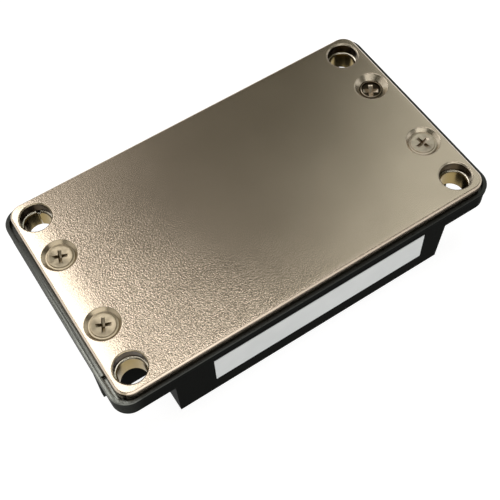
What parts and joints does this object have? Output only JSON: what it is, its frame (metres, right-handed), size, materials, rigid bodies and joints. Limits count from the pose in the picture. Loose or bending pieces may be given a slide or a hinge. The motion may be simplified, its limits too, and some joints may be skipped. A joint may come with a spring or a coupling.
{
  "type": "igbt power module",
  "caption": "Low flat transistor power module, black moulded case with a nickel plated baseplate, screw terminals and sleeved corner holes, lying baseplate up.",
  "frame": {"origin": "middle of the footprint on the terminal face, on the surface that the module lies on", "axes": "+X along the long side, +Z from the terminal face to the heat sink face of the baseplate; the label is on the -Y side"},
  "size_m": [0.108, 0.062, 0.022],
  "materials": {
    "plate_nickel": "satin nickel plating over copper, fine bead blasted grain",
    "housing_black": "fine moulded texture, glass filled",
    "lid_black": "fine moulded texture",
    "label_white": "satin film, plain",
    "ferrule_steel": "turned, zinc plated",
    "screw_steel": "zinc plated",
    "nut_steel": "zinc plated",
    "terminal_nickel": "nickel plated copper strip",
    "pin_tin": "tin plated copper stamping",
    "seal_grey": "cured adhesive",
    "gel_clear": "soft clear gel",
    "circuit_copper": "bare rolled copper",
    "ceramic_white": "fired ceramic",
    "chip_grey": "metallised silicon",
    "wire_aluminium": "bright drawn wire"
  },
  "bodies": {
    "root": {"baseplate": "plate_nickel", "housing_frame": "housing_black", "lid": "lid_black", "label": "label_white", "ferrule_front_left": "ferrule_steel", "ferrule_front_right": "ferrule_steel", "ferrule_rear_left": "ferrule_steel", "ferrule_rear_right": "ferrule_steel", "frame_screws": "screw_steel", "terminal_nuts": "nut_steel", "busbar_positive": "terminal_nickel", "busbar_output": "terminal_nickel", "busbar_negative": "terminal_nickel", "gate_pin_left": "pin_tin", "sense_pin_left": "pin_tin", "gate_pin_right": "pin_tin", "sense_pin_right": "pin_tin", "sealing_bead": "seal_grey", "silicone_gel": "gel_clear", "back_copper_left": "circuit_copper", "ceramic_left": "ceramic_white", "circuit_copper_left": "circuit_copper", "bond_wires_left": "wire_aluminium", "igbt_chip_left_1": "chip_grey", "diode_chip_left_1": "chip_grey", "igbt_chip_left_2": "chip_grey", "diode_chip_left_2": "chip_grey", "back_copper_right": "circuit_copper", "ceramic_right": "ceramic_white", "circuit_copper_right": "circuit_copper", "bond_wires_right": "wire_aluminium", "igbt_chip_right_1": "chip_grey", "diode_chip_right_1": "chip_grey", "igbt_chip_right_2": "chip_grey", "diode_chip_right_2": "chip_grey"}
  },
  "joints": []
}
